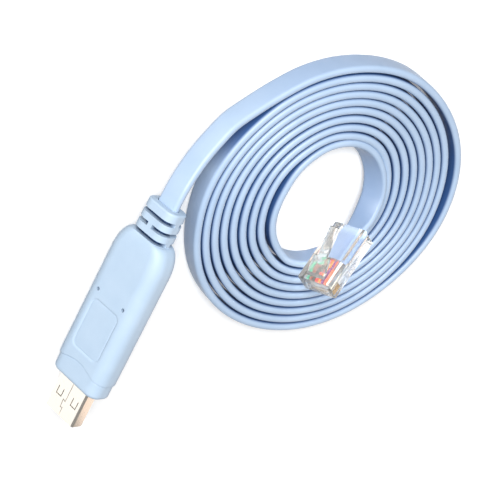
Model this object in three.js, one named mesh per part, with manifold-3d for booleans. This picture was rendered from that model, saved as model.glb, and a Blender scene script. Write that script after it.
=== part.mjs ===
// A console cable: a USB-A plug with a moulded adapter housing, a flat cable wound as a spiral on its
// edge, and a clear modular plug at the inner end.
// Millimetres, +Z up. The origin lies on the floor under the middle of the housing and its USB plug,
// and +X points along the housing to the USB tip. The housing leans on its narrow side.
import * as THREE from 'three';
import { mergeVertices } from 'three/addons/utils/BufferGeometryUtils.js';
import Module from 'manifold-3d';

const wasm = await Module();
wasm.setup();

// Flat cable
const CABLE_WIDTH = 7.2;
const CABLE_THICKNESS = 2.4;
const CABLE_CORNER = 1.1;
const TURN_GAP = 0.48;

// USB-A plug
const SHELL_WIDTH = 12.0;
const SHELL_HEIGHT = 4.5;
const SHELL_WALL = 0.3;
const SHELL_CORNER = 0.7;
const SHELL_EXPOSED = 11.7;
const SHELL_BURIED = 6.0;
const WINDOW_LENGTH = 2.6;
const WINDOW_WIDTH = 2.4;
const WINDOW_FROM_TIP = 6.3;
const WINDOW_SPREAD = 6.4;
const TONGUE_THICKNESS = 1.7;
const TONGUE_SETBACK = 0.5;
const INSULATOR_BLOCK_LENGTH = 8.5;
const CONTACT_PLACES = [-3.5, -1.0, 1.0, 3.5];
const CONTACT_WIDTH = 1.0;
const CONTACT_THICKNESS = 0.2;
const CONTACT_LENGTH = 7.4;
const CONTACT_SETBACK = 1.2;

// Adapter housing, with its strain relief
const HOUSING_WIDTH = 19.6;
const HOUSING_THICKNESS = 9.6;
const HOUSING_CORNER = 3.5;
const HOUSING_LENGTH = 49.0;
const HOUSING_LEAN = THREE.MathUtils.degToRad(16);
const SHOULDER_LENGTH = 8.0;
const NOSE_EDGE = 1.3;
const NOSE_STEP = 0.25;
const NOSE_LENGTH_MIDDLE = 7.0;
const NOSE_LENGTH_SIDES = 5.0;
const NECK_WIDTH = 11.8;
const NECK_THICKNESS = 8.2;
const NECK_CORNER = 3.2;
const NECK_LENGTH = 10.2;
const NECK_TAPER = 0.5;
const NECK_EDGE = 0.5;
const SLOT_WIDTH = 1.2;
const SLOT_DEPTH = 1.9;
const SLOT_BRIDGE = 1.6;
const FIRST_SLOT = 0.7;
const SLOT_SPACING = 3.15;
const PANEL_LENGTH = 14.2;
const PANEL_WIDTH = 10.9;
const PANEL_CORNER = 2.0;
const PANEL_DEPTH = 0.25;
const PANEL_FROM_NOSE = 18.5;
const LIGHT_HOLE_DIAMETER = 0.9;
const LIGHT_HOLE_DEPTH = 1.6;
const LIGHT_HOLE_SPREAD = 10.8;
const LIGHT_HOLE_FROM_NOSE = 28.4;

// Modular plug
const PLUG_LENGTH = 21.5;
const PLUG_WIDTH = 11.7;
const PLUG_THICKNESS = 6.6;
const PLUG_EDGE = 0.5;
const PLUG_JACKET_DEPTH = 12.0;
const STRAIGHT_BEHIND_PLUG = 1.5;
const WIRE_COUNT = 8;
const WIRE_PITCH = 1.02;
const WIRE_DIAMETER = 0.72;
const WIRE_LENGTH = 6.4;
const WIRE_BAY_HEIGHT = 1.4;
const BLADE_THICKNESS = 0.3;
const BLADE_LENGTH = 3.6;
const BLADE_FROM_FRONT = 0.7;
const BLADE_SINK = 0.5;
const COMB_SLOT_WIDTH = 0.6;
const LATCH_ROOT_FROM_FRONT = 1.2;
const LATCH_ROOT_LENGTH = 3.0;
const LATCH_THICKNESS = 1.1;
const LATCH_SHOULDER_FROM_FRONT = 7.3;
const LATCH_SHOULDER_RISE = 3.2;
const LATCH_TAIL_FROM_FRONT = 16.4;
const LATCH_TAIL_RISE = 5.9;
const LATCH_WIDTH = 6.3;
const LATCH_TAIL_WIDTH = 3.3;
const BAR_WINDOW_LENGTH = 3.4;
const BAR_WINDOW_WIDTH = 8.4;
const BAR_WINDOW_DEPTH = 1.2;
const BAR_WINDOW_FROM_REAR = 12.2;

// Clearances
const GAP = 0.3;
const SMALL_GAP = 0.15;

// How the cable lies. The coil lies flat on the floor with its turns on edge.
const COIL_CENTRE = new THREE.Vector2(-45.2, 55.7);
const COIL_INNER_RADIUS = 21.2;
const COIL_TURNS = 9;
const COIL_GROOVE_DEPTH = 0.7;
const PLUG_YAW = THREE.MathUtils.degToRad(-33.5);
const PLUG_PITCH = THREE.MathUtils.degToRad(22.3);
const PLUG_REAR = new THREE.Vector3(-39.3, 68.8, 9.1);
const TAIL_ANGLES_AND_RADII = [
  [325, 19.3, 3.65], [300, 18.1, 3.65], [270, 17.0, 3.65], [240, 17.9, 3.65], [210, 19.3, 3.65],
  [185, 19.8, 3.65], [160, 19.3, 3.8], [135, 18.2, 4.6], [112, 16.9, 5.8], [90, 15.3, 7.4],
];
const LEAD_POINTS = [
  [-42, 0.6, 9.4], [-50, 3.4, 7.6], [-57, 7.2, 5.9], [-61.7, 10.2, 4.9],
];

// Facets
const COIL_FACETS = 48;
const CORNER_FACETS = 5;
const ROUND_FACETS = 16;
const WIRE_FACETS = 8;
const SHOULDER_STEPS = 7;
const WAVE_STEPS = 24;
const LEAD_STEPS = 16;
const TAIL_STEPS = 36;

const SHELL_LOOK = { color: 0xe8e6e2, roughness: 0.22, metalness: 1.0 };
const INSULATOR_LOOK = { color: 0xf2f2ee, roughness: 0.5, metalness: 0.0 };
const GOLD_LOOK = { color: 0xd8ac4c, roughness: 0.3, metalness: 1.0 };
const VINYL_LOOK = { color: 0xb9d2ec, roughness: 0.5, metalness: 0.0 };
const CLEAR_LOOK = { color: 0xf1efe9, roughness: 0.12, metalness: 0.0 };
const WIRE_COLOURS = [0x3fae8c, 0xa9745e, 0x2a1a18, 0xd63a1e, 0xf59a1d, 0x8a3d84, 0xd9795a, 0xe6e0d4];

// Places along the housing, from its USB tip to the end of its strain relief
const DEVICE_LENGTH = SHELL_EXPOSED + HOUSING_LENGTH + NECK_LENGTH;
const TIP_X = DEVICE_LENGTH / 2;
const NOSE_X = TIP_X - SHELL_EXPOSED;
const NECK_X = NOSE_X - HOUSING_LENGTH;
const NECK_END_X = NECK_X - NECK_LENGTH;

const toSolid = (geometry) => {
  const bare = geometry.clone();
  bare.deleteAttribute('normal');
  bare.deleteAttribute('uv');
  const merged = mergeVertices(bare, 1e-4);
  return new wasm.Manifold(new wasm.Mesh({
    numProp: 3,
    vertProperties: new Float32Array(merged.attributes.position.array),
    triVerts: new Uint32Array(merged.index.array),
  }));
};

const toGeometry = (manifold) => {
  const mesh = manifold.getMesh();
  const geometry = new THREE.BufferGeometry();
  geometry.setAttribute('position', new THREE.BufferAttribute(new Float32Array(mesh.vertProperties), 3));
  geometry.setIndex(new THREE.BufferAttribute(new Uint32Array(mesh.triVerts), 1));
  geometry.computeVertexNormals();
  return geometry;
};

const named = (name, geometry, look) => {
  const mesh = new THREE.Mesh(geometry, new THREE.MeshStandardMaterial(look));
  mesh.name = name;
  return mesh;
};

// A box given by its two corners
const block = (low, high) => new THREE.BoxGeometry(high[0] - low[0], high[1] - low[1], high[2] - low[2])
  .translate((low[0] + high[0]) / 2, (low[1] + high[1]) / 2, (low[2] + high[2]) / 2);

// The corner points of a rectangle with round corners, anticlockwise
const roundedOutline = (width, height, corner, facets = CORNER_FACETS) => {
  const points = [];
  const quarters = [[1, 1], [-1, 1], [-1, -1], [1, -1]];
  quarters.forEach(([across, up], quarter) => {
    for (let i = 0; i <= facets; i++) {
      const angle = (quarter + i / facets) * Math.PI / 2;
      points.push(new THREE.Vector2(
        across * (width / 2 - corner) + corner * Math.cos(angle),
        up * (height / 2 - corner) + corner * Math.sin(angle),
      ));
    }
  });
  return points;
};

const toOutline = (pairs) => pairs.map(([x, y]) => new THREE.Vector2(x, y));

// Turns X to Y, Y to Z and Z to X
const FACING_X = new THREE.Matrix4().makeBasis(
  new THREE.Vector3(0, 1, 0), new THREE.Vector3(0, 0, 1), new THREE.Vector3(1, 0, 0),
);

// Extrudes an outline drawn in Y and Z along X, from one place to another
const alongX = (outline, from, to) => new THREE.ExtrudeGeometry(
  new THREE.Shape(outline), { depth: to - from, bevelEnabled: false },
).applyMatrix4(FACING_X).translate(from, 0, 0);

// Extrudes an outline drawn in X and Y along Z, middled on Z = 0
const alongZ = (outline, depth) => new THREE.ExtrudeGeometry(
  new THREE.Shape(outline), { depth, bevelEnabled: false },
).translate(0, 0, -depth / 2);

// Extrudes an outline drawn in X and Z along Y, middled on Y = 0
const alongY = (outline, depth) => alongZ(outline, depth).rotateX(Math.PI / 2);

// A closed skin through rounded sections at growing places along X
const loft = (sections) => {
  const rings = sections.map(({ x, thickness, width, corner }) => (
    roundedOutline(thickness, width, corner).map((point) => new THREE.Vector3(x, point.x, point.y))
  ));
  const size = rings[0].length;
  const faces = [];
  for (let ring = 0; ring + 1 < rings.length; ring++) {
    for (let i = 0; i < size; i++) {
      const a = ring * size + i;
      const b = ring * size + (i + 1) % size;
      faces.push(a, b, a + size, b, b + size, a + size);
    }
  }
  const last = (rings.length - 1) * size;
  for (let i = 1; i + 1 < size; i++) {
    faces.push(0, i + 1, i, last, last + i, last + i + 1);
  }
  const geometry = new THREE.BufferGeometry().setFromPoints(rings.flat());
  geometry.setIndex(faces);
  return geometry;
};

// The stations of an edge rounded over a short run, as shares of its radius: [setback, inset]
const EDGE_STATIONS = [0, 0.25, 0.5, 0.75, 1].map((share) => {
  const angle = share * Math.PI / 2;
  return [1 - Math.cos(angle), 1 - Math.sin(angle)];
});

const inset = (section, by) => ({
  x: section.x,
  width: section.width - 2 * by,
  thickness: section.thickness - 2 * by,
  corner: Math.max(section.corner - by, SMALL_GAP),
});

// A flat cable's route: its wide side stays upright and leans outward by leanAt(share of the way)
class RibbonRoute extends THREE.CatmullRomCurve3 {
  constructor(points, leanAt) {
    super(points);
    this.leanAt = leanAt;
  }

  computeFrenetFrames(segments) {
    const frames = { tangents: [], normals: [], binormals: [] };
    const up = new THREE.Vector3(0, 0, 1);
    for (let i = 0; i <= segments; i++) {
      const tangent = this.getTangentAt(i / segments);
      const outward = new THREE.Vector3().crossVectors(tangent, up).normalize();
      const normal = new THREE.Vector3().crossVectors(outward, tangent);
      const lean = this.leanAt(i / segments);
      normal.multiplyScalar(Math.cos(lean)).addScaledVector(outward, Math.sin(lean));
      frames.tangents.push(tangent);
      frames.normals.push(normal);
      frames.binormals.push(new THREE.Vector3().crossVectors(tangent, normal));
    }
    return frames;
  }
}

const ribbon = (route, steps) => new THREE.ExtrudeGeometry(
  new THREE.Shape(roundedOutline(CABLE_WIDTH, CABLE_THICKNESS, CABLE_CORNER, 2)),
  { steps, bevelEnabled: false, extrudePath: route },
);

// The hollow metal shell of the USB plug, with two windows in each wide face
function makeUsbShell() {
  const outer = roundedOutline(SHELL_HEIGHT, SHELL_WIDTH, SHELL_CORNER);
  const inner = roundedOutline(
    SHELL_HEIGHT - 2 * SHELL_WALL, SHELL_WIDTH - 2 * SHELL_WALL, SHELL_CORNER - SHELL_WALL,
  );
  let shell = toSolid(alongX(outer, NOSE_X - SHELL_BURIED, TIP_X))
    .subtract(toSolid(alongX(inner, NOSE_X - SHELL_BURIED - 1, TIP_X + 1)));
  for (const side of [-1, 1]) {
    const window = new THREE.BoxGeometry(WINDOW_LENGTH, 2 * SHELL_HEIGHT, WINDOW_WIDTH)
      .translate(TIP_X - WINDOW_FROM_TIP, 0, side * WINDOW_SPREAD / 2);
    shell = shell.subtract(toSolid(window));
  }
  return named('usb_shell', toGeometry(shell), SHELL_LOOK);
}

// The insulator inside the shell: a full block at the back, and a tongue along the seam side
function makeUsbInsulator() {
  const height = SHELL_HEIGHT - 2 * (SHELL_WALL + SMALL_GAP);
  const width = SHELL_WIDTH - 2 * (SHELL_WALL + SMALL_GAP);
  const corner = SHELL_CORNER - SHELL_WALL - SMALL_GAP;
  const rear = NOSE_X - SHELL_BURIED;
  const body = toSolid(alongX(roundedOutline(height, width, corner), rear, TIP_X - TONGUE_SETBACK));
  const hollow = toSolid(block(
    [rear + INSULATOR_BLOCK_LENGTH, TONGUE_THICKNESS - height / 2, -SHELL_WIDTH],
    [TIP_X + 1, SHELL_HEIGHT, SHELL_WIDTH],
  ));
  return named('usb_insulator', toGeometry(body.subtract(hollow)), INSULATOR_LOOK);
}

function makeUsbContacts() {
  const tongueFace = TONGUE_THICKNESS - SHELL_HEIGHT / 2 + SHELL_WALL + SMALL_GAP;
  const front = TIP_X - CONTACT_SETBACK;
  return CONTACT_PLACES.map((place, index) => named(`usb_contact_${index + 1}`, block(
    [front - CONTACT_LENGTH, tongueFace + SMALL_GAP, place - CONTACT_WIDTH / 2],
    [front, tongueFace + SMALL_GAP + CONTACT_THICKNESS, place + CONTACT_WIDTH / 2],
  ), GOLD_LOOK));
}

// The skin of the housing and its strain relief, from the cable's end to behind the nose
function housingSkin() {
  const full = { width: HOUSING_WIDTH, thickness: HOUSING_THICKNESS, corner: HOUSING_CORNER };
  const neck = { width: NECK_WIDTH, thickness: NECK_THICKNESS, corner: NECK_CORNER };
  const sections = EDGE_STATIONS.map(([setback, by]) => (
    inset({ ...neck, x: NECK_END_X + NECK_EDGE * setback }, NECK_TAPER / 2 + NECK_EDGE * by)
  ));
  for (let i = 0; i <= SHOULDER_STEPS; i++) {
    const angle = i / SHOULDER_STEPS * Math.PI / 2;
    const grown = Math.sin(angle);
    sections.push({
      x: NECK_X + SHOULDER_LENGTH * (1 - Math.cos(angle)),
      width: THREE.MathUtils.lerp(neck.width, full.width, grown),
      thickness: THREE.MathUtils.lerp(neck.thickness, full.thickness, grown),
      corner: THREE.MathUtils.lerp(neck.corner, full.corner, grown),
    });
  }
  sections.push({ ...full, x: NOSE_X - NOSE_EDGE });
  return loft(sections);
}

// The nose in front of the step: a little smaller, with a round front edge
function noseSkin() {
  const full = { width: HOUSING_WIDTH, thickness: HOUSING_THICKNESS, corner: HOUSING_CORNER };
  const nose = inset(full, NOSE_STEP);
  const sections = [{ ...nose, x: NOSE_X - NOSE_LENGTH_MIDDLE - 1 }];
  [...EDGE_STATIONS].reverse().forEach(([setback, by]) => {
    sections.push(inset({ ...nose, x: NOSE_X - NOSE_EDGE * setback }, NOSE_EDGE * by));
  });
  return loft(sections);
}

// Everything behind the wavy step, drawn from the wide side
function behindStep() {
  const halfWidth = HOUSING_WIDTH / 2 + 1;
  const outline = [[NECK_END_X - 1, -halfWidth]];
  for (let i = 0; i <= WAVE_STEPS; i++) {
    const z = THREE.MathUtils.lerp(-halfWidth, halfWidth, i / WAVE_STEPS);
    const wave = (1 + Math.cos(Math.PI * Math.min(1, Math.abs(2 * z / HOUSING_WIDTH)))) / 2;
    outline.push([NOSE_X - THREE.MathUtils.lerp(NOSE_LENGTH_SIDES, NOSE_LENGTH_MIDDLE, wave), z]);
  }
  outline.push([NECK_END_X - 1, halfWidth]);
  return alongY(toOutline(outline), 2 * HOUSING_THICKNESS);
}

// One ring groove of the strain relief. Its two bridges lie on the narrow sides or on the wide faces.
function reliefGroove(middle, bridgesOnWideFaces) {
  const from = middle - SLOT_WIDTH / 2;
  const to = middle + SLOT_WIDTH / 2;
  const reach = NECK_WIDTH;
  const core = roundedOutline(
    NECK_THICKNESS - 2 * SLOT_DEPTH, NECK_WIDTH - 2 * SLOT_DEPTH, NECK_CORNER - SLOT_DEPTH,
  );
  const bridge = bridgesOnWideFaces
    ? block([from - 1, -reach, -SLOT_BRIDGE / 2], [to + 1, reach, SLOT_BRIDGE / 2])
    : block([from - 1, -SLOT_BRIDGE / 2, -reach], [to + 1, SLOT_BRIDGE / 2, reach]);
  return toSolid(block([from, -reach, -reach], [to, reach, reach]))
    .subtract(toSolid(alongX(core, from - 1, to + 1)))
    .subtract(toSolid(bridge));
}

function makeHousing() {
  const face = -HOUSING_THICKNESS / 2;
  let housing = toSolid(housingSkin()).intersect(toSolid(behindStep())).add(toSolid(noseSkin()));
  for (let row = 0; row < 3; row++) {
    const middle = NECK_X - FIRST_SLOT - row * SLOT_SPACING;
    housing = housing.subtract(reliefGroove(middle, row % 2 === 1));
  }
  const pocket = roundedOutline(SHELL_HEIGHT + 2 * GAP, SHELL_WIDTH + 2 * GAP, SHELL_CORNER + GAP);
  housing = housing.subtract(toSolid(alongX(pocket, NOSE_X - SHELL_BURIED - GAP, NOSE_X + 1)));
  const panel = roundedOutline(PANEL_LENGTH, PANEL_WIDTH, PANEL_CORNER);
  housing = housing.subtract(toSolid(
    alongY(panel, 2 * PANEL_DEPTH).translate(NOSE_X - PANEL_FROM_NOSE, face, 0),
  ));
  for (const side of [-1, 1]) {
    const radius = LIGHT_HOLE_DIAMETER / 2;
    const hole = new THREE.CylinderGeometry(radius, radius, 2 * LIGHT_HOLE_DEPTH, ROUND_FACETS)
      .translate(NOSE_X - LIGHT_HOLE_FROM_NOSE, face, side * LIGHT_HOLE_SPREAD / 2);
    housing = housing.subtract(toSolid(hole));
  }
  return named('adapter_housing', toGeometry(housing), VINYL_LOOK);
}

// The coil's outer shape: a ring with a groove between each turn and the next on both ends
function makeCoil() {
  const pitch = CABLE_THICKNESS + TURN_GAP;
  const outerRadius = COIL_INNER_RADIUS + COIL_TURNS * pitch - TURN_GAP;
  const grooves = [];
  for (let turn = 1; turn < COIL_TURNS; turn++) {
    const middle = COIL_INNER_RADIUS + turn * pitch - TURN_GAP / 2;
    grooves.push([[middle - TURN_GAP, 0], [middle, COIL_GROOVE_DEPTH], [middle + TURN_GAP, 0]]);
  }
  const floorSide = grooves.flat();
  const topSide = floorSide.map(([radius, height]) => [radius, CABLE_WIDTH - height]).reverse();
  const profile = toOutline([
    [COIL_INNER_RADIUS, 0], ...floorSide, [outerRadius, 0],
    [outerRadius, CABLE_WIDTH], ...topSide, [COIL_INNER_RADIUS, CABLE_WIDTH], [COIL_INNER_RADIUS, 0],
  ]);
  const ring = new THREE.LatheGeometry(profile, COIL_FACETS).rotateX(Math.PI / 2);
  const coil = named('cable_coil', ring, VINYL_LOOK);
  coil.position.set(COIL_CENTRE.x, COIL_CENTRE.y, 0);
  return coil;
}

// From the strain relief down to the coil's outer turn
function makeLead(cableHeight) {
  const start = new THREE.Vector3(NECK_END_X - GAP, 0, cableHeight);
  const route = new RibbonRoute(
    [start, ...LEAD_POINTS.map((point) => new THREE.Vector3(...point))],
    (share) => HOUSING_LEAN * (1 - share),
  );
  return named('cable_lead', ribbon(route, LEAD_STEPS), VINYL_LOOK);
}

// From the coil's inner turn round the bore and up into the modular plug
function makeTail(plug) {
  const points = TAIL_ANGLES_AND_RADII.map(([degrees, radius, height]) => {
    const angle = THREE.MathUtils.degToRad(degrees);
    return new THREE.Vector3(
      COIL_CENTRE.x + radius * Math.cos(angle), COIL_CENTRE.y + radius * Math.sin(angle), height,
    );
  });
  const depth = PLUG_JACKET_DEPTH - GAP;
  for (const place of [-STRAIGHT_BEHIND_PLUG, depth / 4, depth / 2, depth * 3 / 4, depth]) {
    points.push(plug.localToWorld(new THREE.Vector3(place, 0, 0)));
  }
  return named('cable_tail', ribbon(new RibbonRoute(points, () => 0), TAIL_STEPS), VINYL_LOOK);
}

const wirePlace = (index) => (index - (WIRE_COUNT - 1) / 2) * WIRE_PITCH;

// The clear body of the modular plug with its spring latch. X runs to the front, Z across the width,
// and the latch is on the -Y side.
function makePlugBody() {
  const face = -PLUG_THICKNESS / 2;
  const fromFront = (distance) => PLUG_LENGTH - distance;
  const sideOutline = toOutline([
    [0, face + PLUG_EDGE], [PLUG_EDGE, face],
    [fromFront(PLUG_EDGE), face], [PLUG_LENGTH, face + PLUG_EDGE],
    [PLUG_LENGTH, -face - PLUG_EDGE], [fromFront(PLUG_EDGE), -face],
    [PLUG_EDGE, -face], [0, -face - PLUG_EDGE],
  ]);
  let body = toSolid(alongZ(sideOutline, PLUG_WIDTH));

  const jacketHole = roundedOutline(
    CABLE_THICKNESS + 2 * GAP, CABLE_WIDTH + 2 * GAP, CABLE_CORNER + GAP, 2,
  );
  body = body.subtract(toSolid(alongX(jacketHole, -1, PLUG_JACKET_DEPTH)));
  const bayEnd = PLUG_JACKET_DEPTH + WIRE_LENGTH + 2 * GAP;
  const bayWidth = (WIRE_COUNT - 1) * WIRE_PITCH + WIRE_DIAMETER + 2 * GAP;
  body = body.subtract(toSolid(block(
    [PLUG_JACKET_DEPTH - 1, -WIRE_BAY_HEIGHT / 2, -bayWidth / 2],
    [bayEnd, WIRE_BAY_HEIGHT / 2, bayWidth / 2],
  )));
  for (let index = 0; index < WIRE_COUNT; index++) {
    const z = wirePlace(index);
    body = body.subtract(toSolid(block(
      [fromFront(BLADE_FROM_FRONT + BLADE_LENGTH + SMALL_GAP), 0, z - COMB_SLOT_WIDTH / 2],
      [PLUG_LENGTH + 1, PLUG_THICKNESS, z + COMB_SLOT_WIDTH / 2],
    )));
  }
  body = body.subtract(toSolid(block(
    [BAR_WINDOW_FROM_REAR, face - 1, -BAR_WINDOW_WIDTH / 2],
    [BAR_WINDOW_FROM_REAR + BAR_WINDOW_LENGTH, face + BAR_WINDOW_DEPTH, BAR_WINDOW_WIDTH / 2],
  )));

  const rootFront = fromFront(LATCH_ROOT_FROM_FRONT);
  const rootRear = rootFront - LATCH_ROOT_LENGTH;
  const shoulderX = fromFront(LATCH_SHOULDER_FROM_FRONT);
  const tailX = fromFront(LATCH_TAIL_FROM_FRONT);
  const latchOutline = (sink) => toOutline([
    [rootFront, face + sink], [rootFront - LATCH_THICKNESS, face - LATCH_THICKNESS],
    [shoulderX, face - LATCH_SHOULDER_RISE], [tailX, face - LATCH_TAIL_RISE],
    [tailX, face - LATCH_TAIL_RISE + LATCH_THICKNESS],
    [shoulderX, face - LATCH_SHOULDER_RISE + LATCH_THICKNESS],
    [rootRear, face + sink],
  ]);
  const wide = toSolid(alongZ(latchOutline(PLUG_EDGE), LATCH_WIDTH)).subtract(toSolid(block(
    [tailX - 1, face - 2 * LATCH_TAIL_RISE, -LATCH_WIDTH], [shoulderX, face, LATCH_WIDTH],
  )));
  const narrow = toSolid(alongZ(latchOutline(PLUG_EDGE), LATCH_TAIL_WIDTH));
  return named('rj45_body', toGeometry(body.add(wide).add(narrow)), CLEAR_LOOK);
}

// The eight wires side by side, from the jacket's end to under the contacts
function makeWires() {
  return WIRE_COLOURS.map((color, index) => {
    const wire = new THREE.CylinderGeometry(WIRE_DIAMETER / 2, WIRE_DIAMETER / 2, WIRE_LENGTH, WIRE_FACETS)
      .rotateZ(Math.PI / 2).translate(PLUG_JACKET_DEPTH + GAP + WIRE_LENGTH / 2, 0, wirePlace(index));
    return named(`rj45_wire_${index + 1}`, wire, { color, roughness: 0.45, metalness: 0.0 });
  });
}

// The eight contact blades, in the comb's slots over the wires
function makeBlades() {
  const front = PLUG_LENGTH - BLADE_FROM_FRONT;
  return WIRE_COLOURS.map((color, index) => named(`rj45_contact_${index + 1}`, block(
    [front - BLADE_LENGTH, WIRE_DIAMETER / 2 + SMALL_GAP, wirePlace(index) - BLADE_THICKNESS / 2],
    [front, PLUG_THICKNESS / 2 - BLADE_SINK, wirePlace(index) + BLADE_THICKNESS / 2],
  ), GOLD_LOOK));
}

const device = new THREE.Group();
device.add(makeUsbShell(), makeUsbInsulator(), ...makeUsbContacts(), makeHousing());
device.rotation.x = -HOUSING_LEAN;
device.position.z = -new THREE.Box3().setFromObject(device, true).min.z;

const plug = new THREE.Group();
plug.add(makePlugBody(), ...makeWires(), ...makeBlades());
plug.position.copy(PLUG_REAR);
plug.rotation.set(0, -PLUG_PITCH, PLUG_YAW, 'ZYX');
plug.updateMatrixWorld(true);

const group = new THREE.Group();
group.add(device, makeLead(device.position.z), makeCoil(), makeTail(plug), plug);

export default group;
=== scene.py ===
"""Console cable: a USB plug in a moulded adapter housing, a flat cable wound on its edge, and a clear
modular plug. Sizes are in millimetres up to the last step of each piece, and the scene is in metres."""

import logging
import math
from dataclasses import dataclass
from enum import Enum
from typing import Iterable, Sequence

import bpy
from mathutils import Euler, Matrix, Vector


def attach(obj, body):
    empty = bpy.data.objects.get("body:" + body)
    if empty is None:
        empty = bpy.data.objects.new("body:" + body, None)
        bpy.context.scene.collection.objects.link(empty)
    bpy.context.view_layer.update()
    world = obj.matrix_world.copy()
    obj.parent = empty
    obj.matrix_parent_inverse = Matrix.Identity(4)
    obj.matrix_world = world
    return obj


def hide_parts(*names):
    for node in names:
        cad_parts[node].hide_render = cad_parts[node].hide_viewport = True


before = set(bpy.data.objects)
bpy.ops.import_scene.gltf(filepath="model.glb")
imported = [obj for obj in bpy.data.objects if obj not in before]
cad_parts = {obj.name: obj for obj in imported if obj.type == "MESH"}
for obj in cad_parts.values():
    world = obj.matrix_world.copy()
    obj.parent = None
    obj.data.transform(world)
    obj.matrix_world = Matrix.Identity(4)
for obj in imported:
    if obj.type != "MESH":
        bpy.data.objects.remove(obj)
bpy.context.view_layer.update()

LOG = logging.getLogger("console_cable")
MM = 0.001
BODY = "root"
# The point attribute that holds the painted shade, which the vinyl materials mix toward navy.
PAINTED_SHADE_ATTRIBUTE = "painted_shade"

Outline = list[tuple[float, float]]
Tree = bpy.types.NodeTree
Socket = bpy.types.NodeSocket


# Colour and nodes


def linear(code: str) -> tuple[float, float, float, float]:
    """Turns an sRGB hex colour to linear light.

    Args:
        code: six hex digits, with or without a leading #.

    Returns:
        Red, green, blue and an alpha of 1.
    """
    digits = code.lstrip("#")
    channels = [int(digits[i : i + 2], 16) / 255 for i in (0, 2, 4)]
    lit = [c / 12.92 if c <= 0.04045 else ((c + 0.055) / 1.055) ** 2.4 for c in channels]
    return (*lit, 1.0)


def add_node(
    tree: Tree, kind: str, settings: dict | None = None, inputs: dict | None = None
) -> bpy.types.Node:
    """Adds a node with its settings, and sets or links its inputs.

    Args:
        tree: the node tree that gets the node.
        kind: the node's type name.
        settings: attribute names and values.
        inputs: socket names or numbers, with a value or the output socket to link.

    Returns:
        The new node.
    """
    node = tree.nodes.new(kind)
    for name, value in (settings or {}).items():
        setattr(node, name, value)
    for socket, value in (inputs or {}).items():
        if isinstance(value, Socket):
            tree.links.new(value, node.inputs[socket])
        else:
            node.inputs[socket].default_value = value
    return node


def new_surface(name: str, inputs: dict) -> tuple[bpy.types.Material, bpy.types.Node]:
    """Makes a material with one Principled shader.

    Args:
        name: the material's name.
        inputs: values that are the same all over the surface, set on the shader's own sockets.

    Returns:
        The material and its shader node.
    """
    material = bpy.data.materials.new(name)
    material.use_nodes = True
    shader = material.node_tree.nodes["Principled BSDF"]
    for socket, value in inputs.items():
        shader.inputs[socket].default_value = value
    return material, shader


def link_to(shader: bpy.types.Node, sockets: dict[str, Socket]) -> None:
    """Links each socket to the shader's input of that name."""
    for name, socket in sockets.items():
        shader.id_data.links.new(socket, shader.inputs[name])


def noise_of(tree: Tree, grain_mm: float, stretch: tuple[float, float, float], detail: float,
             coordinate: str = "Object") -> Socket:
    """Adds a noise whose features have a real size.

    Args:
        tree: the node tree.
        grain_mm: the size of a feature across.
        stretch: how much longer a feature is along each axis.
        detail: the noise's octaves.
        coordinate: the texture coordinate that it follows.

    Returns:
        The noise's value, from 0 to 1.
    """
    where = add_node(tree, "ShaderNodeTexCoord").outputs[coordinate]
    scaled = add_node(tree, "ShaderNodeMapping", None, {
        "Vector": where, "Scale": [1 / (grain_mm * MM * s) for s in stretch],
    })
    return add_node(tree, "ShaderNodeTexNoise", None, {
        "Vector": scaled.outputs["Vector"], "Scale": 1.0, "Detail": detail,
    }).outputs["Fac"]


def spread(tree: Tree, value: Socket, low: float, high: float) -> Socket:
    """Maps the middle of a noise to the range from low to high and returns the socket."""
    return add_node(tree, "ShaderNodeMapRange", None, {
        "Value": value, "From Min": 0.3, "From Max": 0.7, "To Min": low, "To Max": high,
    }).outputs["Result"]


def blend_of(tree: Tree, share: Socket, first: str, second: str) -> Socket:
    """Mixes two sRGB hex colours by a share that varies over the surface and returns the colour socket."""
    return add_node(tree, "ShaderNodeMix", {"data_type": "RGBA"}, {
        0: share, 6: linear(first), 7: linear(second),
    }).outputs[2]


def painted_shade_mix(tree: Tree, open_tone: Socket, deep: str) -> Socket:
    """Paints shade: mixes a tone toward a deeper sRGB hex colour by the mesh's painted-shade attribute and returns
    the colour socket.
    """
    painted_shade = add_node(tree, "ShaderNodeAttribute", {"attribute_name": PAINTED_SHADE_ATTRIBUTE}).outputs["Fac"]
    return add_node(tree, "ShaderNodeMix", {"data_type": "RGBA"}, {
        0: painted_shade, 6: open_tone, 7: linear(deep),
    }).outputs[2]


def bump_of(tree: Tree, height: Socket, depth_mm: float) -> Socket:
    """Turns a height into a bumped normal of a real depth and returns the normal socket."""
    return add_node(tree, "ShaderNodeBump", None, {
        "Strength": 1.0, "Distance": depth_mm * MM, "Height": height,
    }).outputs["Normal"]


# Finishes


@dataclass(frozen=True)
class MouldedVinyl:
    """Flexible PVC, injection moulded in a fine spark-eroded mould: a matt, slightly waxy pale blue with
    soft broad highlights and no sharp reflections. Shade is painted into its colour as a deep navy down in its
    holes and slots."""

    name: str = "flexible_pvc_spark_eroded_mould"
    light: str = "#b6cade"
    deep: str = "#b0c5da"
    # Painted shade: the navy that the colour is mixed toward down in holes and slots.
    painted_shade_colour: str = "#1d3f6b"
    cloud_mm: float = 7.0
    # The real grit is near 0.05 mm. It is drawn at 0.35 mm so that it shows.
    grit_mm: float = 0.35
    grit_depth_mm: float = 0.008

    def build(self) -> bpy.types.Material:
        """Makes the material and returns it."""
        material, shader = new_surface(self.name, {"IOR": 1.53, "Specular IOR Level": 0.42})
        tree = material.node_tree
        cloud = noise_of(tree, self.cloud_mm, (1, 1, 1), 2.0)
        grit = noise_of(tree, self.grit_mm, (1, 1, 1), 3.0)
        open_tone = blend_of(tree, spread(tree, cloud, 0, 1), self.light, self.deep)
        link_to(shader, {
            "Base Color": painted_shade_mix(tree, open_tone, self.painted_shade_colour),
            "Roughness": spread(tree, grit, 0.44, 0.56),
            "Normal": bump_of(tree, grit, self.grit_depth_mm),
        })
        return material


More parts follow.
